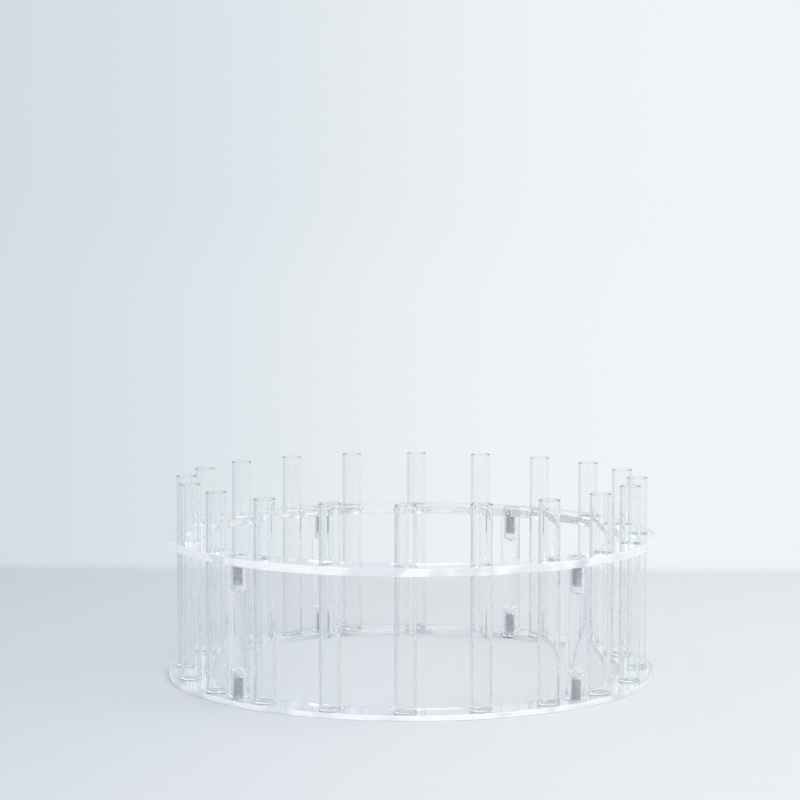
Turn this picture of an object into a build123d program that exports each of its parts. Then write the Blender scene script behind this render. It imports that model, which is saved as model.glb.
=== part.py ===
from build123d import *
import os
from math import cos, radians, sin, tan

# Ring vase: glass tubes stand upright in a circle between two clear rings on four posts.
# Millimetres, +Z up, front towards -Y, origin under the middle of the base ring.

# Rings
ring_diameter = 377.0
ring_edge_margin = 5.2
base_thickness = 4.0
upper_thickness = 6.0
ring_edge_chamfer = 0.4

# Tubes
tube_count = 20
tube_diameter = 16.0
tube_length = 150.0
tube_wall = 1.2
tube_floor = 2.0
tube_foot_radius = 1.6
tube_rim_chamfer = 0.35
tube_hole_clearance = 0.3
tube_recess_depth = 1.5
tube_seat_gap = 0.1

# Posts
post_diameter = 16.0
post_height = 99.0
front_post_tube_count = 2
rear_post_tube_count = 2
post_edge_chamfer = 0.5
tapped_hole_depth = 20.0
drill_point_angle = 118.0

# Countersunk screws
screw_diameter = 8.0
screw_grip = 16.0
screw_head_diameter = 13.0
screw_head_edge = 0.4
screw_head_below_face = 0.3
screw_hole_clearance = 0.3
screw_thread_clearance = 0.05
screw_seat_clearance = 0.1
hex_key_size = 5.0
hex_key_depth = 1.8

# Worked out from the sizes above
tube_hole_diameter = tube_diameter + 2 * tube_hole_clearance
ring_width = tube_hole_diameter + 2 * ring_edge_margin
ring_inner_diameter = ring_diameter - 2 * ring_width
circle_radius = (ring_diameter - ring_width) / 2
tube_pitch = 360.0 / tube_count
upper_level = base_thickness + post_height
tube_level = base_thickness - tube_recess_depth + tube_seat_gap
screw_head_height = screw_head_edge + (screw_head_diameter - screw_diameter) / 2


def on_circle(angle):
    """Place on the tube circle, with the angle counted from the front towards +X."""
    turn = radians(angle)
    return Pos(circle_radius * sin(turn), -circle_radius * cos(turn), 0)


def tube_places():
    return [on_circle(index * tube_pitch) for index in range(tube_count)]


def post_angles():
    """Posts stand midway between two tubes, so many tubes on from the front and the back ones."""
    front = (front_post_tube_count + 0.5) * tube_pitch
    rear = (tube_count // 2 - rear_post_tube_count + 0.5) * tube_pitch
    return {"right_front": front, "right_rear": rear, "left_rear": 360 - rear, "left_front": 360 - front}


def post_places():
    return [on_circle(angle) for angle in post_angles().values()]


def screw_cut():
    """Room for one screw in a ring: a clear hole and a seat, head end at z = 0 and shank upwards."""
    shank_hole = screw_diameter / 2 + screw_hole_clearance
    seat_edge = screw_head_diameter / 2 + screw_seat_clearance
    straight_depth = screw_head_below_face + screw_head_edge
    cone_depth = straight_depth + seat_edge - shank_hole
    through = max(base_thickness, upper_thickness) + cone_depth
    profile = Polyline(
        (0, 0),
        (seat_edge, 0),
        (seat_edge, straight_depth),
        (shank_hole, cone_depth),
        (shank_hole, through),
        (0, through),
        close=True,
    )
    return revolve(Plane.XZ * make_face(profile), Axis.Z)


def ring_blank(thickness, start=0.0, end=360.0):
    """Flat ring, or an arc of it between two angles from the front, its long corners just broken."""
    outer = ring_diameter / 2
    inner = ring_inner_diameter / 2
    section = Plane.XZ * Pos((outer + inner) / 2, thickness / 2) * Rectangle(outer - inner, thickness)
    section = chamfer(section.vertices(), ring_edge_chamfer)
    return Rot(Z=start - 90) * revolve(section, Axis.Z, end - start)


def base_ring():
    """Lower ring, with a shallow seat for each tube and screw holes from below."""
    ring = ring_blank(base_thickness)
    seat = Pos(0, 0, base_thickness) * Cylinder(tube_hole_diameter / 2, 2 * tube_recess_depth)
    cuts = [place * seat for place in tube_places()]
    cuts += [place * screw_cut() for place in post_places()]
    return ring - cuts


def upper_ring_arc(start, end):
    """Arc of the ring that keeps the tubes upright, from the middle of one post to the next."""
    arc = Pos(0, 0, upper_level) * ring_blank(upper_thickness, start, end)
    middle = upper_level + upper_thickness / 2
    hole = Pos(0, 0, middle) * Cylinder(tube_hole_diameter / 2, 2 * upper_thickness)
    screw_hole = Pos(0, 0, upper_level + upper_thickness) * Rot(X=180) * screw_cut()
    cuts = [place * hole for place in tube_places()]
    cuts += [place * screw_hole for place in post_places()]
    return arc - cuts


def upper_ring_arcs():
    """The upper ring in four arcs that meet over the posts, each named for its side."""
    angles = list(post_angles().values())
    starts = [angles[-1] - 360] + angles[:-1]
    return {
        side: upper_ring_arc(start, end)
        for side, start, end in zip(("front", "right", "rear", "left"), starts, angles)
    }


def tube():
    """Flat-bottomed tube with an even wall, a rounded foot and a polished rim, foot at its seat."""
    outer = tube_diameter / 2
    inner = outer - tube_wall
    profile = Polyline(
        (0, 0),
        (outer, 0),
        (outer, tube_length),
        (inner, tube_length),
        (inner, tube_floor),
        (0, tube_floor),
        close=True,
    )
    section = make_face(profile)
    rim = [v for v in section.vertices() if v.Y > tube_length - tube_wall]
    section = chamfer(rim, tube_rim_chamfer)
    foot = [v for v in section.vertices() if v.X > inner + tube_wall / 2 and v.Y < tube_floor / 2]
    section = fillet(foot, tube_foot_radius)
    return Pos(0, 0, tube_level) * revolve(Plane.XZ * section, Axis.Z)


def post():
    """Solid clear rod with a tapped blind hole in each end, standing on the base ring."""
    hole_radius = screw_diameter / 2 + screw_thread_clearance
    point = hole_radius / tan(radians(drill_point_angle / 2))
    rod = Cylinder(post_diameter / 2, post_height, align=(Align.CENTER, Align.CENTER, Align.MIN))
    rod = chamfer(rod.edges(), post_edge_chamfer)
    profile = Polyline(
        (0, 0),
        (hole_radius, 0),
        (hole_radius, tapped_hole_depth),
        (0, tapped_hole_depth + point),
        close=True,
    )
    hole = revolve(Plane.XZ * make_face(profile), Axis.Z)
    upper_hole = Pos(0, 0, post_height) * Rot(X=180) * hole
    return Pos(0, 0, base_thickness) * (rod - [hole, upper_hole])


def screw(ring_thickness):
    """Countersunk screw with a hexagon socket, outer ring face at z = 0 and shank upwards."""
    head = screw_head_diameter / 2
    shank = screw_diameter / 2
    start = screw_head_below_face
    tip = ring_thickness + screw_grip
    profile = Polyline(
        (0, start),
        (head, start),
        (head, start + screw_head_edge),
        (shank, start + screw_head_height),
        (shank, tip),
        (0, tip),
        close=True,
    )
    body = revolve(Plane.XZ * make_face(profile), Axis.Z)
    socket = extrude(RegularPolygon(hex_key_size / 2, 6, major_radius=False), start + hex_key_depth)
    return body - socket


def base_screws():
    return Compound(children=[place * screw(base_thickness) for place in post_places()])


def top_screws():
    turned = Pos(0, 0, upper_level + upper_thickness) * Rot(X=180) * screw(upper_thickness)
    return Compound(children=[place * turned for place in post_places()])


def write(shape, node):
    export_step(shape, f"parts/{node}.step")


os.makedirs("parts", exist_ok=True)
write(base_ring(), "base_ring")
for side, arc in upper_ring_arcs().items():
    write(arc, f"upper_ring_{side}")
for corner, angle in post_angles().items():
    write(on_circle(angle) * post(), f"post_{corner}")
write(base_screws(), "base_screws")
write(top_screws(), "top_screws")
for number, place in enumerate(tube_places(), start=1):
    write(place * tube(), f"tube_{number:02d}")
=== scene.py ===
import bpy
from math import atan2, cos, pi, radians, sin, tan
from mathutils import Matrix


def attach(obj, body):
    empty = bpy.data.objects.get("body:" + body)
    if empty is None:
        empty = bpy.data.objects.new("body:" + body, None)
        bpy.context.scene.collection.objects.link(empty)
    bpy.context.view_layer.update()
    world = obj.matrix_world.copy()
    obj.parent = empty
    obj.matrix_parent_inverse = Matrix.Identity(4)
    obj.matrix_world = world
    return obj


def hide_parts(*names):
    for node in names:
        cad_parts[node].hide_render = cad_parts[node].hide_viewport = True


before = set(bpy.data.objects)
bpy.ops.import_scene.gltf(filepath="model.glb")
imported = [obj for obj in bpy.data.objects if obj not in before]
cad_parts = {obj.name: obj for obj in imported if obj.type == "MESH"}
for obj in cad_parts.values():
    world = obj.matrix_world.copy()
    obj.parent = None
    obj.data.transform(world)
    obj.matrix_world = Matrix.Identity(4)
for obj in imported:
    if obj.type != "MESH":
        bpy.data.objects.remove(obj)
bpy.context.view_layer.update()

# Base ring: a flat ring cut from 4 mm clear acrylic sheet, on which everything else stands.
# Its outer edge is sanded matt, and a shallow round seat is milled into its top for each tube foot.
# Four holes are countersunk from below for the screws that hold the posts.
RING_OUTER = 0.1885
RING_INNER = 0.1615
RING_SIDES = 360
EDGE_BREAK = 0.0004
BASE_THICK = 0.004
CIRCLE = 0.175
TUBES = 20
TUBE_ANGLES = [n * 360 / TUBES for n in range(TUBES)]
TUBE_HOLE = 0.0083
HOLE_SIDES = 72
HOLE_BREAK = 0.0002
SEAT_DEPTH = 0.0015
SEAT_ROUND = 0.0003
POST_ANGLES = {"right_front": 45, "right_rear": 153, "left_rear": -153, "left_front": -45}
SCREW = 0.004
SCREW_PLAY = 0.0003
SCREW_HEAD = 0.0065
HEAD_PLAY = 0.0001
HEAD_BELOW = 0.0003
HEAD_EDGE = 0.0004
SCREW_HOLE_DEPTH = 0.009
CUT_PAST = 0.001
SAME_POINT = 0.0000005
SHARP = radians(30)


def pick(piece):
    """Selects one piece alone."""
    bpy.ops.object.select_all(action="DESELECT")
    piece.select_set(True)
    bpy.context.view_layer.objects.active = piece


def turned(name, rings, sides=64):
    """A closed round shape, turned to a list of (radius, height) from one end to the other."""
    bpy.ops.object.select_all(action="DESELECT")
    radius, height = rings[0]
    bpy.ops.mesh.primitive_circle_add(vertices=sides, radius=radius, fill_type="NGON")
    piece = bpy.context.object
    piece.name = piece.data.name = name
    bpy.ops.object.mode_set(mode="EDIT")
    bpy.ops.mesh.select_all(action="SELECT")
    bpy.ops.transform.translate(value=(0, 0, height))
    for new_radius, new_height in rings[1:]:
        bpy.ops.mesh.extrude_region_move(TRANSFORM_OT_translate={"value": (0, 0, new_height - height)})
        wider = new_radius / radius
        bpy.ops.transform.resize(value=(wider, wider, 1), center_override=(0, 0, new_height))
        radius, height = new_radius, new_height
    bpy.ops.mesh.select_all(action="SELECT")
    bpy.ops.mesh.normals_make_consistent(inside=False)
    bpy.ops.object.mode_set(mode="OBJECT")
    return piece


def remove(piece):
    """Takes a piece away that was only a model or a cutting shape."""
    pick(piece)
    bpy.ops.object.delete()


def copy_to(piece, name, angle):
    """A copy of a piece made on the middle axis, with its own mesh, put on the tube circle.
    The angle is counted from the front towards +X."""
    pick(piece)
    bpy.ops.object.duplicate()
    copied = bpy.context.object
    copied.name = copied.data.name = name
    bpy.ops.transform.translate(value=(CIRCLE * sin(radians(angle)), -CIRCLE * cos(radians(angle)), 0))
    bpy.ops.object.transform_apply(location=True, rotation=True, scale=True)
    return copied


def copies(model, angles):
    """Copies of a model round the tube circle, one for each angle, in place of the model."""
    made = [copy_to(model, f"{model.name}_{n}", angle) for n, angle in enumerate(angles)]
    remove(model)
    return made


def join(name, pieces):
    """Makes one piece of several, which keeps the place of each."""
    bpy.ops.object.select_all(action="DESELECT")
    for piece in pieces:
        piece.select_set(True)
    bpy.context.view_layer.objects.active = pieces[0]
    bpy.ops.object.join()
    pieces[0].name = pieces[0].data.name = name
    return pieces[0]


def cut_away(piece, cutter):
    """Cuts one shape out of a piece and takes the cutting shape away."""
    pick(piece)
    cut = piece.modifiers.new("cut", "BOOLEAN")
    cut.operation = "DIFFERENCE"
    cut.solver = "EXACT"
    cut.object = cutter
    bpy.ops.object.modifier_apply(modifier=cut.name)
    bpy.ops.object.mode_set(mode="EDIT")
    bpy.ops.mesh.select_all(action="SELECT")
    bpy.ops.mesh.remove_doubles(threshold=SAME_POINT)
    bpy.ops.object.mode_set(mode="OBJECT")
    remove(cutter)


def flat_ring(name, level, thick):
    """A flat ring drawn out from its inner circle, thickened upwards, its four corners broken."""
    bpy.ops.object.select_all(action="DESELECT")
    bpy.ops.mesh.primitive_circle_add(vertices=RING_SIDES, radius=RING_INNER, fill_type="NOTHING")
    ring = bpy.context.object
    ring.name = ring.data.name = name
    bpy.ops.object.mode_set(mode="EDIT")
    bpy.ops.mesh.select_all(action="SELECT")
    bpy.ops.transform.translate(value=(0, 0, level))
    bpy.ops.mesh.extrude_edges_move()
    wider = RING_OUTER / RING_INNER
    bpy.ops.transform.resize(value=(wider, wider, 1), center_override=(0, 0, level))
    bpy.ops.mesh.select_all(action="SELECT")
    bpy.ops.mesh.extrude_region_move(TRANSFORM_OT_translate={"value": (0, 0, thick)})
    bpy.ops.mesh.select_all(action="SELECT")
    bpy.ops.mesh.normals_make_consistent(inside=False)
    bpy.ops.mesh.select_all(action="DESELECT")
    bpy.ops.mesh.select_mode(type="EDGE")
    bpy.ops.mesh.edges_select_sharp(sharpness=SHARP)
    bpy.ops.mesh.bevel(offset=EDGE_BREAK, offset_type="OFFSET", segments=1, affect="EDGES")
    bpy.ops.object.mode_set(mode="OBJECT")
    return ring


def screw_hole(face, inwards):
    """The cutting shape of one countersunk hole, from a ring's outer face inwards (1 up, -1 down)."""
    wide = SCREW_HEAD + HEAD_PLAY
    clear = SCREW + SCREW_PLAY
    straight = HEAD_BELOW + HEAD_EDGE
    depths = [(wide, -CUT_PAST), (wide, straight), (clear, straight + wide - clear),
              (clear, SCREW_HOLE_DEPTH)]
    return turned("screw_cutter", [(radius, face + inwards * depth) for radius, depth in depths])


base_ring = flat_ring("base_ring_clear", 0, BASE_THICK)
seat_floor = BASE_THICK - SEAT_DEPTH
seat = turned("seat_cutter", [(TUBE_HOLE - SEAT_ROUND, seat_floor), (TUBE_HOLE, seat_floor + SEAT_ROUND),
                              (TUBE_HOLE, BASE_THICK - HOLE_BREAK),
                              (TUBE_HOLE + 2 * HOLE_BREAK, BASE_THICK + HOLE_BREAK),
                              (TUBE_HOLE + 2 * HOLE_BREAK, BASE_THICK + CUT_PAST)], HOLE_SIDES)
cuts = copies(seat, TUBE_ANGLES) + copies(screw_hole(0, 1), POST_ANGLES.values())
cut_away(base_ring, join("base_cuts", cuts))

ACRYLIC_IOR = 1.49
ACRYLIC_TINT = (0.98, 0.985, 0.993, 1)
ACRYLIC_TINT_DEEP = (0.96, 0.97, 0.985, 1)
ACRYLIC_SHADE = (0.95, 0.958, 0.968, 1)
EDGE_WHITE = (0.985, 0.987, 0.995, 1)
EDGE_WHITE_DEEP = (0.955, 0.96, 0.98, 1)
EDGE_DULL = (0.78, 0.79, 0.825, 1)
RELIEF = 0.0001
MIX_FIRST, MIX_SECOND, MIX_RESULT = 6, 7, 2


def new_finish(name, plain):
    """A new material, with the values that are the same all over on its shader's own sockets."""
    finish = bpy.data.materials.new(name)
    finish.use_nodes = True
    nodes, links = finish.node_tree.nodes, finish.node_tree.links
    shader = nodes["Principled BSDF"]
    for socket, value in plain.items():
        shader.inputs[socket].default_value = value
    return finish, nodes, links, shader


def noise(nodes, links, place, scale, detail, distortion=0.0):
    """A soft random pattern of values about a half."""
    pattern = nodes.new("ShaderNodeTexNoise")
    pattern.inputs["Scale"].default_value = scale
    pattern.inputs["Detail"].default_value = detail
    pattern.inputs["Distortion"].default_value = distortion
    links.new(place, pattern.inputs["Vector"])
    return pattern.outputs["Fac"]


def spread(nodes, links, value, low, high, kind="SMOOTHSTEP"):
    """0 at a low value and 1 at a high one, with a soft or a straight change between them."""
    change = nodes.new("ShaderNodeMapRange")
    change.interpolation_type = kind
    change.inputs["From Min"].default_value = low
    change.inputs["From Max"].default_value = high
    links.new(value, change.inputs["Value"])
    return change.outputs["Result"]


def mixed(nodes, links, share, first, second):
    """A colour between two others, each a plain colour or the output of a node."""
    mix = nodes.new("ShaderNodeMix")
    mix.data_type = "RGBA"
    links.new(share, mix.inputs["Factor"])
    for socket, colour in ((MIX_FIRST, first), (MIX_SECOND, second)):
        if isinstance(colour, tuple):
            mix.inputs[socket].default_value = colour
        else:
            links.new(colour, mix.inputs[socket])
    return mix.outputs[MIX_RESULT]


def either(nodes, links, share, first, second):
    """One shader at a share of 0 and another at 1."""
    mix = nodes.new("ShaderNodeMixShader")
    links.new(share, mix.inputs["Fac"])
    links.new(first, mix.inputs[1])
    links.new(second, mix.inputs[2])
    return mix.outputs["Shader"]


def raised(nodes, links, shader, height, strength):
    """Fine relief on a finish."""
    bump = nodes.new("ShaderNodeBump")
    bump.inputs["Strength"].default_value = strength
    bump.inputs["Distance"].default_value = RELIEF
    links.new(height, bump.inputs["Height"])
    links.new(bump.outputs["Normal"], shader.inputs["Normal"])


def handled_surface():
    """Effect for clear pieces: a slow drift of tint, wiped smears in the gloss and fine scuffs."""
    group = bpy.data.node_groups.new("handled surface", "ShaderNodeTree")
    for way, sockets in (("INPUT", (("Vector", "Vector"), ("Light tint", "Color"), ("Deep tint", "Color"),
                                    ("Polish", "Float"), ("Smear", "Float"))),
                         ("OUTPUT", (("Tint", "Color"), ("Roughness", "Float"), ("Scuffs", "Float")))):
        for label, kind in sockets:
            group.interface.new_socket(name=label, in_out=way, socket_type=f"NodeSocket{kind}")
    nodes, links = group.nodes, group.links
    given = nodes.new("NodeGroupInput").outputs
    put_out = nodes.new("NodeGroupOutput").inputs
    drift = noise(nodes, links, given["Vector"], scale=22, detail=2)
    links.new(mixed(nodes, links, drift, given["Light tint"], given["Deep tint"]), put_out["Tint"])
    smears = noise(nodes, links, given["Vector"], scale=45, detail=5, distortion=1.2)
    gloss = nodes.new("ShaderNodeMath")
    gloss.operation = "MULTIPLY_ADD"
    links.new(spread(nodes, links, smears, low=0.52, high=0.78, kind="LINEAR"), gloss.inputs[0])
    links.new(given["Smear"], gloss.inputs[1])
    links.new(given["Polish"], gloss.inputs[2])
    links.new(gloss.outputs["Value"], put_out["Roughness"])
    links.new(noise(nodes, links, given["Vector"], scale=900, detail=1), put_out["Scuffs"])
    return group


HANDLED = handled_surface()


def handled(nodes, links, place, shader, light, deep, polish, smear, relief):
    """Puts the handled surface into a finish, all but its colour, which is given back."""
    surface = nodes.new("ShaderNodeGroup")
    surface.node_tree = HANDLED
    surface.inputs["Light tint"].default_value = light
    surface.inputs["Deep tint"].default_value = deep
    surface.inputs["Polish"].default_value = polish
    surface.inputs["Smear"].default_value = smear
    links.new(place, surface.inputs["Vector"])
    links.new(surface.outputs["Roughness"], shader.inputs["Roughness"])
    raised(nodes, links, shader, surface.outputs["Scuffs"], relief)
    return surface.outputs["Tint"]


def clear_finish(name, ior, light, deep, shade, polish, smear, scuff, stretch=(1, 1, 1), edge=None):
    """A see-through finish that lets lamp light through, so that its shadow stays pale.
    Round pieces take a painted edge shade too: their colour greys where the wall turns away, standing in for
    the dark outline lines of clear glass, far darker than the longer path through the wall would make it."""
    finish, nodes, links, shader = new_finish(name, {"IOR": ior, "Transmission Weight": 1.0})
    place = nodes.new("ShaderNodeTexCoord")
    along = nodes.new("ShaderNodeMapping")
    along.inputs["Scale"].default_value = stretch
    links.new(place.outputs["Object"], along.inputs["Vector"])
    colour = handled(nodes, links, along.outputs["Vector"], shader, light, deep, polish, smear, scuff)
    # Painted shade: the edge colour greys the outline of round clear pieces.
    if edge:
        facing = nodes.new("ShaderNodeLayerWeight")
        turning = spread(nodes, links, facing.outputs["Facing"], low=0.42, high=0.95)
        colour = mixed(nodes, links, turning, colour, edge)
    links.new(colour, shader.inputs["Base Color"])
    ray = nodes.new("ShaderNodeLightPath")
    through = nodes.new("ShaderNodeBsdfTransparent")
    through.inputs["Color"].default_value = shade
    seen = either(nodes, links, ray.outputs["Is Shadow Ray"], shader.outputs["BSDF"], through.outputs["BSDF"])
    links.new(seen, nodes["Material Output"].inputs["Surface"])
    return finish


def sanded(name, ior, clear, light, deep, dull):
    """A clear material sanded or ground to a matt white that glows a little with light from inside.
    It is uneven: longer stretches of it are duller."""
    finish, nodes, links, shader = new_finish(name, {"IOR": ior, "Transmission Weight": clear})
    place = nodes.new("ShaderNodeTexCoord").outputs["Object"]
    colour = handled(nodes, links, place, shader, light, deep, polish=0.34, smear=0.12, relief=0.25)
    stretches = noise(nodes, links, place, scale=34, detail=1)
    uneven = spread(nodes, links, stretches, low=0.51, high=0.64)
    links.new(mixed(nodes, links, uneven, colour, dull), shader.inputs["Base Color"])
    return finish


def matt_rim(ring, clear, matt):
    """Two finishes on a ring: all of it is polished clear but the sawn outer edge, which is matt."""
    ring.data.materials.append(clear)
    ring.data.materials.append(matt)
    for face in ring.data.polygons:
        upright = abs(face.normal.z) < 0.9
        face.material_index = 1 if upright and face.center.xy.length > RING_OUTER - 2 * EDGE_BREAK else 0


def smooth(piece, sharp=SHARP):
    """Smooth shading with the sharp corners kept."""
    pick(piece)
    bpy.ops.object.shade_smooth_by_angle(angle=sharp)


sheet_acrylic = clear_finish("sheet acrylic", ACRYLIC_IOR, ACRYLIC_TINT, ACRYLIC_TINT_DEEP, ACRYLIC_SHADE,
                             polish=0.010, smear=0.04, scuff=0.008)
sawn_edge = sanded("sanded acrylic edge", ACRYLIC_IOR, 0.25, EDGE_WHITE, EDGE_WHITE_DEEP, EDGE_DULL)
matt_rim(base_ring, sheet_acrylic, sawn_edge)
smooth(base_ring)
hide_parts("base_ring")
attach(base_ring, "stand")

# Base screws: four countersunk stainless screws with a hexagon socket.
# They go up through the base ring into the posts, and their heads lie just inside its underside.
SCREW_SIDES = 48
GRIP = 0.016
PLAIN_SHANK = 0.0004
HEAD_BREAK = 0.00015
THREAD_PITCH = 0.00125
THREAD_DEPTH = 0.00062
THREAD_ROOT = 0.0002
THREAD_WIDTH = 0.92 * THREAD_PITCH
THREAD_STEPS = 36
THREAD_IN_RING = 0.001
RUN_OUT = 0.0006
KEY_SIZE = 0.005
KEY_DEPTH = 0.0018
KEY_LEAD = 0.0003
KEY_LEAD_DEPTH = 0.0002
KEY_POINT = 0.0009
KEY_TIP = 0.0002
STEEL = (0.70, 0.705, 0.715, 1)
STEEL_DARK = (0.58, 0.585, 0.60, 1)


def thread_ridge(start, turns):
    """One rolled thread: a three-sided ridge wound round the shank, closed at both its ends.
    It starts as a triangle that is 1.5 deep and the root of 3 wide, with its tip outwards."""
    bpy.ops.object.select_all(action="DESELECT")
    bpy.ops.mesh.primitive_circle_add(vertices=3, radius=1, fill_type="NOTHING")
    ridge = bpy.context.object
    bpy.ops.object.mode_set(mode="EDIT")
    bpy.ops.mesh.select_all(action="SELECT")
    bpy.ops.transform.rotate(value=-pi / 2, orient_axis="Z", center_override=(0, 0, 0))
    bpy.ops.transform.rotate(value=pi / 2, orient_axis="X", center_override=(0, 0, 0))
    bpy.ops.object.mode_set(mode="OBJECT")
    tip = max(ridge.data.vertices, key=lambda corner: abs(corner.co.x)).co.x
    reach = (THREAD_DEPTH + THREAD_ROOT) / 1.5
    bpy.ops.object.mode_set(mode="EDIT")
    bpy.ops.transform.resize(value=(reach / tip, 1, THREAD_WIDTH / 3 ** 0.5), center_override=(0, 0, 0))
    bpy.ops.transform.translate(value=(SCREW - reach, 0, start))
    bpy.ops.object.mode_set(mode="OBJECT")
    wind = ridge.modifiers.new("wind", "SCREW")
    wind.axis = "Z"
    wind.angle = 2 * pi
    wind.screw_offset = THREAD_PITCH
    wind.iterations = turns
    wind.steps = wind.render_steps = THREAD_STEPS
    bpy.ops.object.modifier_apply(modifier=wind.name)
    bpy.ops.object.mode_set(mode="EDIT")
    bpy.ops.mesh.select_all(action="SELECT")
    bpy.ops.mesh.fill_holes(sides=3)
    bpy.ops.mesh.select_all(action="SELECT")
    bpy.ops.mesh.normals_make_consistent(inside=False)
    bpy.ops.object.mode_set(mode="OBJECT")
    return ridge


def countersunk_screw(ring_thick):
    """One screw on the middle axis, its head at the ring's outer face z = 0 and its tip upwards."""
    cone_end = HEAD_BELOW + HEAD_EDGE + SCREW_HEAD - SCREW
    tip = ring_thick + GRIP
    core = SCREW - THREAD_DEPTH
    plain = max(cone_end + PLAIN_SHANK, ring_thick - THREAD_IN_RING)
    screw = turned("screw_model", [(SCREW_HEAD - HEAD_BREAK, HEAD_BELOW),
                                   (SCREW_HEAD, HEAD_BELOW + HEAD_BREAK),
                                   (SCREW_HEAD, HEAD_BELOW + HEAD_EDGE), (SCREW, cone_end), (SCREW, plain),
                                   (core, plain + RUN_OUT), (core, tip - RUN_OUT), (core - RUN_OUT, tip)],
                   SCREW_SIDES)
    corner = KEY_SIZE / 2 / cos(pi / 6)
    socket_floor = HEAD_BELOW + KEY_DEPTH
    socket = turned("socket_cutter", [(corner + KEY_LEAD, HEAD_BELOW - KEY_LEAD),
                                      (corner, HEAD_BELOW + KEY_LEAD_DEPTH), (corner, socket_floor),
                                      (KEY_TIP, socket_floor + KEY_POINT)], sides=6)
    cut_away(screw, socket)
    turns = int((tip - 2 * RUN_OUT - plain) / THREAD_PITCH)
    return join("screw_model", [screw, thread_ridge(plain + RUN_OUT, turns)])


def turned_steel(name, light, dark):
    """Plain stainless steel with fine rings left by turning and a little unevenness in its shine."""
    finish, nodes, links, shader = new_finish(name, {"Metallic": 1.0})
    place = nodes.new("ShaderNodeTexCoord")
    across = nodes.new("ShaderNodeMapping")
    across.inputs["Scale"].default_value = (1, 1, 14)
    links.new(place.outputs["Object"], across.inputs["Vector"])
    lines = noise(nodes, links, across.outputs["Vector"], scale=420, detail=4)
    links.new(mixed(nodes, links, lines, dark, light), shader.inputs["Base Color"])
    rough = nodes.new("ShaderNodeMapRange")
    rough.inputs["To Min"].default_value = 0.2
    rough.inputs["To Max"].default_value = 0.42
    links.new(lines, rough.inputs["Value"])
    links.new(rough.outputs["Result"], shader.inputs["Roughness"])
    raised(nodes, links, shader, lines, strength=0.15)
    return finish


screw_steel = turned_steel("turned stainless steel", STEEL, STEEL_DARK)
base_screws = join("base_screws_steel", copies(countersunk_screw(BASE_THICK), POST_ANGLES.values()))
base_screws.data.materials.append(screw_steel)
smooth(base_screws)
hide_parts("base_screws")
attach(base_screws, "stand")

# Posts: four solid clear acrylic rods, 99 mm long, that keep the two rings apart.
# A rod is polished, with a tapped blind hole in each end that the drill and tap leave frosted.
# A film of air stays where its turned ends meet the rings, so that both faces show.
POST = 0.008
POST_HEIGHT = 0.099
POST_BREAK = 0.0005
POST_SIDES = 96
TAPPED = 0.00405
TAPPED_DEPTH = 0.020
TAPPED_MARGIN = 0.0001
DRILL_POINT = TAPPED / tan(radians(59))
DRILL_TIP = 0.00005
AIR_FILM = 0.00004
ROD_SHADE = (0.90, 0.915, 0.935, 1)

# Its edge colour is a painted shade that greys the rod's outline.
rod_acrylic = clear_finish("rod acrylic", ACRYLIC_IOR, (0.985, 0.988, 0.995, 1), (0.962, 0.97, 0.985, 1),
                           ROD_SHADE, polish=0.012, smear=0.04, scuff=0.004, stretch=(1, 1, 0.12),
                           edge=(0.64, 0.68, 0.73, 1))
drilled_acrylic = clear_finish("drilled acrylic", ACRYLIC_IOR, (0.97, 0.975, 0.985, 1),
                               (0.93, 0.94, 0.955, 1), ROD_SHADE, polish=0.22, smear=0.14, scuff=0.05,
                               stretch=(1, 1, 6))
foot = BASE_THICK + AIR_FILM
head = BASE_THICK + POST_HEIGHT - AIR_FILM
post = turned("post_model", [(DRILL_TIP, foot + TAPPED_DEPTH + DRILL_POINT), (TAPPED, foot + TAPPED_DEPTH),
                             (TAPPED, foot), (POST - POST_BREAK, foot), (POST, foot + POST_BREAK),
                             (POST, head - POST_BREAK), (POST - POST_BREAK, head), (TAPPED, head),
                             (TAPPED, head - TAPPED_DEPTH),
                             (DRILL_TIP, head - TAPPED_DEPTH - DRILL_POINT)], POST_SIDES)
post.data.materials.append(rod_acrylic)
post.data.materials.append(drilled_acrylic)
for face in post.data.polygons:
    face.material_index = 1 if face.center.xy.length < TAPPED + TAPPED_MARGIN else 0
for where, angle in POST_ANGLES.items():
    rod = copy_to(post, f"post_{where}_clear", angle)
    smooth(rod)
    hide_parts(f"post_{where}")
    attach(rod, "stand")
remove(post)

# Upper ring: the same ring from 6 mm sheet, laid on the four posts.
# A clear hole for each tube goes right through it, and the screw holes are countersunk from above.
UPPER_LEVEL = BASE_THICK + POST_HEIGHT
UPPER_THICK = 0.006
UPPER_TOP = UPPER_LEVEL + UPPER_THICK

upper_ring = flat_ring("upper_ring_clear", UPPER_LEVEL, UPPER_THICK)
hole = turned("hole_cutter", [(TUBE_HOLE + 2 * HOLE_BREAK, UPPER_LEVEL - CUT_PAST),
                              (TUBE_HOLE + 2 * HOLE_BREAK, UPPER_LEVEL - HOLE_BREAK),
                              (TUBE_HOLE, UPPER_LEVEL + HOLE_BREAK), (TUBE_HOLE, UPPER_TOP - HOLE_BREAK),
                              (TUBE_HOLE + 2 * HOLE_BREAK, UPPER_TOP + HOLE_BREAK),
                              (TUBE_HOLE + 2 * HOLE_BREAK, UPPER_TOP + CUT_PAST)], HOLE_SIDES)
cuts = copies(hole, TUBE_ANGLES) + copies(screw_hole(UPPER_TOP, -1), POST_ANGLES.values())
cut_away(upper_ring, join("upper_cuts", cuts))
matt_rim(upper_ring, sheet_acrylic, sawn_edge)
smooth(upper_ring)
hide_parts("upper_ring_front", "upper_ring_right", "upper_ring_rear", "upper_ring_left")
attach(upper_ring, "stand")

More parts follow.
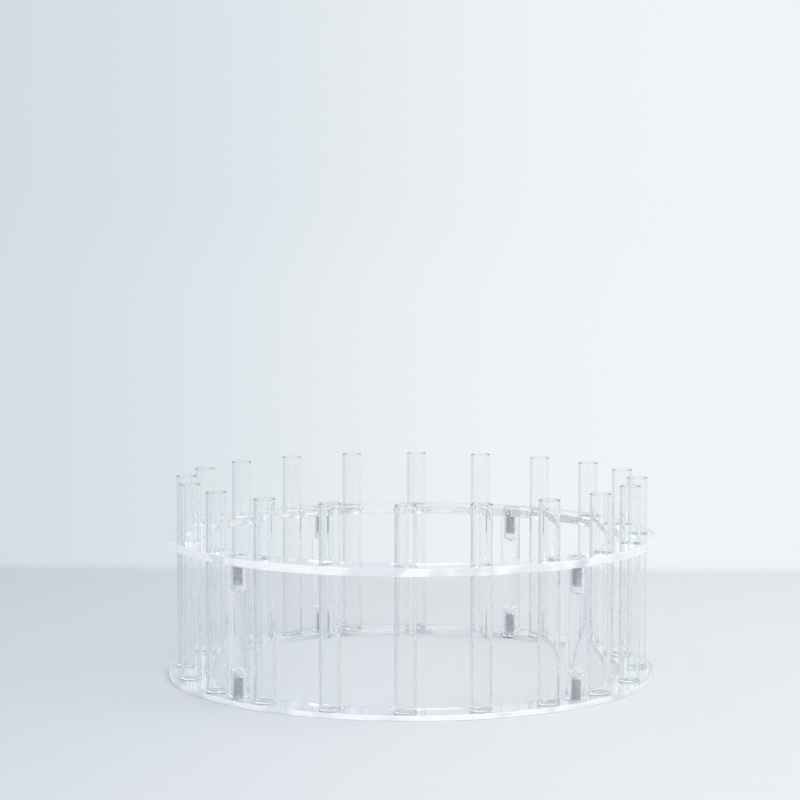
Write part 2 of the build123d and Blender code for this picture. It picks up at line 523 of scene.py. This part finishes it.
# Top screws: four more of the same screws, longer by the thicker ring.
# They go down through the upper ring into the tops of the posts, heads just inside its upper face.
screw = countersunk_screw(UPPER_THICK)
pick(screw)
bpy.ops.transform.rotate(value=pi, orient_axis="X", center_override=(0, 0, 0))
bpy.ops.transform.translate(value=(0, 0, UPPER_TOP))
bpy.ops.object.transform_apply(location=True, rotation=True, scale=True)
top_screws = join("top_screws_steel", copies(screw, POST_ANGLES.values()))
top_screws.data.materials.append(screw_steel)
smooth(top_screws)
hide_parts("top_screws")
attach(top_screws, "stand")

# Tubes: twenty flat-bottomed tubes of drawn clear glass, 16 by 150 mm, that stand loose in the rings.
# The foot is pressed flat with a rounded corner and ground, and the rim is melted round in a flame.
GLASS_IOR = 1.47
TUBE = 0.008
TUBE_WALL = 0.0012
TUBE_BORE = TUBE - TUBE_WALL
TUBE_FOOT = 0.0026
TUBE_FLOOR = TUBE_FOOT + 0.002
TUBE_RIM = TUBE_FOOT + 0.150
TUBE_SIDES = 96
TUBE_SHARP = radians(40)
FOOT_ROUND = 0.0016
BORE_ROUND = 0.0014
RIM_ROUND = TUBE_WALL / 2
RIM_BELOW = 0.0011
FLAT_STEP = 0.0005
WALL_STEP = 0.0004


def rounded(middle, height, radius, start, end, steps):
    """The (radius, height) places along a rounded corner, from one direction to another."""
    turns = [start + (end - start) * step / steps for step in range(steps + 1)]
    return [(middle + radius * cos(turn), height + radius * sin(turn)) for turn in turns]


# Its edge colour is a painted shade that greys the tube's outline.
tube_glass = clear_finish("drawn glass", GLASS_IOR, (0.99, 0.994, 0.993, 1), (0.975, 0.984, 0.982, 1),
                          (0.925, 0.938, 0.94, 1), polish=0.004, smear=0.02, scuff=0.004,
                          stretch=(0.35, 0.35, 0.02), edge=(0.58, 0.63, 0.64, 1))
ground_foot = sanded("ground glass foot", GLASS_IOR, 0.55, (0.95, 0.965, 0.965, 1), (0.90, 0.92, 0.925, 1),
                     (0.87, 0.89, 0.895, 1))
outside = [(TUBE - FOOT_ROUND - FLAT_STEP, TUBE_FOOT)]
outside += rounded(TUBE - FOOT_ROUND, TUBE_FOOT + FOOT_ROUND, FOOT_ROUND, -pi / 2, 0, 8)
outside += [(TUBE, TUBE_FOOT + FOOT_ROUND + WALL_STEP), (TUBE, TUBE_RIM - RIM_BELOW)]
rim = rounded(TUBE - RIM_ROUND, TUBE_RIM - RIM_ROUND, RIM_ROUND, 0, pi, 12)
inside = [(TUBE_BORE, TUBE_RIM - RIM_BELOW), (TUBE_BORE, TUBE_FLOOR + BORE_ROUND + WALL_STEP)]
inside += rounded(TUBE_BORE - BORE_ROUND, TUBE_FLOOR + BORE_ROUND, BORE_ROUND, 0, -pi / 2, 8)
inside += [(TUBE_BORE - BORE_ROUND - FLAT_STEP, TUBE_FLOOR)]
tube = turned("tube_model", outside + rim + inside, TUBE_SIDES)
tube.data.materials.append(tube_glass)
tube.data.materials.append(ground_foot)
for face in tube.data.polygons:
    face.material_index = 1 if face.center.z < TUBE_FOOT + FOOT_ROUND / 2 else 0
for number, angle in enumerate(TUBE_ANGLES, start=1):
    glass = copy_to(tube, f"tube_{number:02d}_glass", angle)
    smooth(glass, TUBE_SHARP)
    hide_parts(f"tube_{number:02d}")
    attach(glass, f"tube_{number:02d}_body")
remove(tube)

# Floor and backdrop: a pale matt floor and a paler backdrop that stands on it, both painted dimmer on the
# left, as if lit from the right.
# The backdrop meets the floor softly, ends softly at its top, and can be seen from its front alone.
# The floor lies a hair under the base ring, so that their faces do not coincide.
FLOOR = (0.755, 0.770, 0.790, 1)
FLOOR_DIM = (0.625, 0.665, 0.725, 1)
FLOOR_WIDE = 12
FLOOR_BELOW = 0.0002
FADE_START = 0.7
FADE_END = 2.2
BACKDROP = (0.871, 0.905, 0.926, 1)
BACKDROP_DIM = (0.650, 0.720, 0.776, 1)
BACKDROP_PLACE = 0.495
BACKDROP_HEIGHT = 0.38
BACKDROP_FOOT = 0.0105
BACKDROP_TOP = 0.25
VIEW_DISTANCE = 1.96
DIM_SIDE = -0.20
BRIGHT_SIDE = 0.08


def lit_from_right(nodes, links, place, near, dim, bright):
    """Painted light and shade: a colour from its dim left to its bright right, by how far a place lies to one
    side.
    """
    split = nodes.new("ShaderNodeSeparateXYZ")
    links.new(place, split.inputs["Vector"])
    deep = nodes.new("ShaderNodeMath")
    deep.operation = "ABSOLUTE"
    links.new(split.outputs["Y"], deep.inputs[0])
    off = nodes.new("ShaderNodeMath")
    off.inputs[1].default_value = near
    links.new(deep.outputs["Value"], off.inputs[0])
    aside = nodes.new("ShaderNodeMath")
    aside.operation = "DIVIDE"
    links.new(split.outputs["X"], aside.inputs[0])
    links.new(off.outputs["Value"], aside.inputs[1])
    across = spread(nodes, links, aside.outputs["Value"], DIM_SIDE, BRIGHT_SIDE)
    return mixed(nodes, links, across, dim, bright)


def stage_finish(name):
    """A new material for the stage, with its places and the glow of the backdrop."""
    finish, nodes, links, shader = new_finish(name, {})
    nodes.remove(shader)
    place = nodes.new("ShaderNodeTexCoord").outputs["Object"]
    glow = nodes.new("ShaderNodeEmission")
    colour = lit_from_right(nodes, links, place, VIEW_DISTANCE, BACKDROP_DIM, BACKDROP)
    links.new(colour, glow.inputs["Color"])
    return finish, nodes, links, place, glow.outputs["Emission"]


bpy.ops.object.select_all(action="DESELECT")
bpy.ops.mesh.primitive_plane_add(size=FLOOR_WIDE, location=(0, 0, -FLOOR_BELOW))
floor = bpy.context.object
floor.name = "floor"
pale_floor, nodes, links, place, glow = stage_finish("pale floor")
away = nodes.new("ShaderNodeVectorMath")
away.operation = "LENGTH"
links.new(place, away.inputs[0])
matt = nodes.new("ShaderNodeBsdfDiffuse")
# The floor's own colour is a painted shade, darker towards the left, on top of the lamps' light.
links.new(lit_from_right(nodes, links, place, VIEW_DISTANCE, FLOOR_DIM, FLOOR), matt.inputs["Color"])
fade = spread(nodes, links, away.outputs["Value"], FADE_START, FADE_END)
links.new(either(nodes, links, fade, matt.outputs["BSDF"], glow), nodes["Material Output"].inputs["Surface"])
floor.data.materials.append(pale_floor)

bpy.ops.object.select_all(action="DESELECT")
bpy.ops.mesh.primitive_plane_add(size=1)
backdrop = bpy.context.object
backdrop.name = "backdrop"
bpy.ops.object.mode_set(mode="EDIT")
bpy.ops.transform.resize(value=(FLOOR_WIDE, BACKDROP_HEIGHT, 1), center_override=(0, 0, 0))
bpy.ops.object.mode_set(mode="OBJECT")
backdrop.rotation_euler = (pi / 2, 0, 0)
backdrop.location = (0, BACKDROP_PLACE, BACKDROP_HEIGHT / 2)
bpy.ops.object.transform_apply(location=True, rotation=True, scale=True)
backdrop.visible_diffuse = backdrop.visible_shadow = False
pale_backdrop, nodes, links, place, glow = stage_finish("pale backdrop")
split = nodes.new("ShaderNodeSeparateXYZ")
links.new(place, split.inputs["Vector"])
side = nodes.new("ShaderNodeNewGeometry")
nothing = nodes.new("ShaderNodeBsdfTransparent").outputs["BSDF"]
rise = spread(nodes, links, split.outputs["Z"], 0, BACKDROP_FOOT)
end = spread(nodes, links, split.outputs["Z"], BACKDROP_TOP, BACKDROP_HEIGHT)
risen = either(nodes, links, rise, nothing, glow)
ended = either(nodes, links, end, risen, nothing)
one_way = either(nodes, links, side.outputs["Backfacing"], ended, nothing)
links.new(one_way, nodes["Material Output"].inputs["Surface"])
backdrop.data.materials.append(pale_backdrop)

# Light: an even soft light from all around, and the backdrop's colours where clear pieces look past it.
# A large lamp stands above on the right, with weaker ones low on the left and in front.
SOFT = (0.62, 0.635, 0.65, 1)
LAMPS = {"lamp above right": ((1.1, -0.1, 1.9), 2.0, 20), "lamp left": ((-1.5, -1.6, 0.7), 1.0, 8),
         "lamp in front": ((0.5, -2.6, 1.1), 2.4, 18)}
LAMP_AIM = 0.08

surroundings = bpy.data.worlds.new("soft surroundings")
bpy.context.scene.world = surroundings
surroundings.use_nodes = True
nodes, links = surroundings.node_tree.nodes, surroundings.node_tree.links
place = nodes.new("ShaderNodeTexCoord").outputs["Generated"]
ray = nodes.new("ShaderNodeLightPath")
seen = lit_from_right(nodes, links, place, 0, BACKDROP_DIM, BACKDROP)
links.new(mixed(nodes, links, ray.outputs["Is Diffuse Ray"], seen, SOFT), nodes["Background"].inputs["Color"])

for label, ((x, y, z), wide, watts) in LAMPS.items():
    bpy.ops.object.light_add(type="AREA", location=(x, y, z))
    lamp = bpy.context.object
    lamp.name = label
    lamp.data.shape = "DISK"
    lamp.data.size = wide
    lamp.data.energy = watts
    lamp.rotation_euler = (atan2((x * x + y * y) ** 0.5, z - LAMP_AIM), 0, atan2(y, x) + pi / 2)

# Camera: a long lens a little above the tubes, where the photograph was taken from.
# Light may pass through many clear walls before it is counted as lost.
BOUNCES = 96

lens = bpy.data.cameras.new("camera")
lens.sensor_width = 36
lens.lens = 114.5
lens.clip_start = 0.05
camera = bpy.data.objects.new("camera", lens)
camera.location = (0.04734, -1.96309, 0.38059)
camera.rotation_euler = (pi / 2 - 0.0855, 0, 0.0286)
bpy.context.scene.collection.objects.link(camera)
bpy.context.scene.camera = camera

bpy.context.scene.view_settings.view_transform = "Standard"
bpy.context.scene.cycles.max_bounces = BOUNCES
bpy.context.scene.cycles.transmission_bounces = BOUNCES
bpy.context.scene.cycles.glossy_bounces = BOUNCES
bpy.context.scene.cycles.transparent_max_bounces = 32
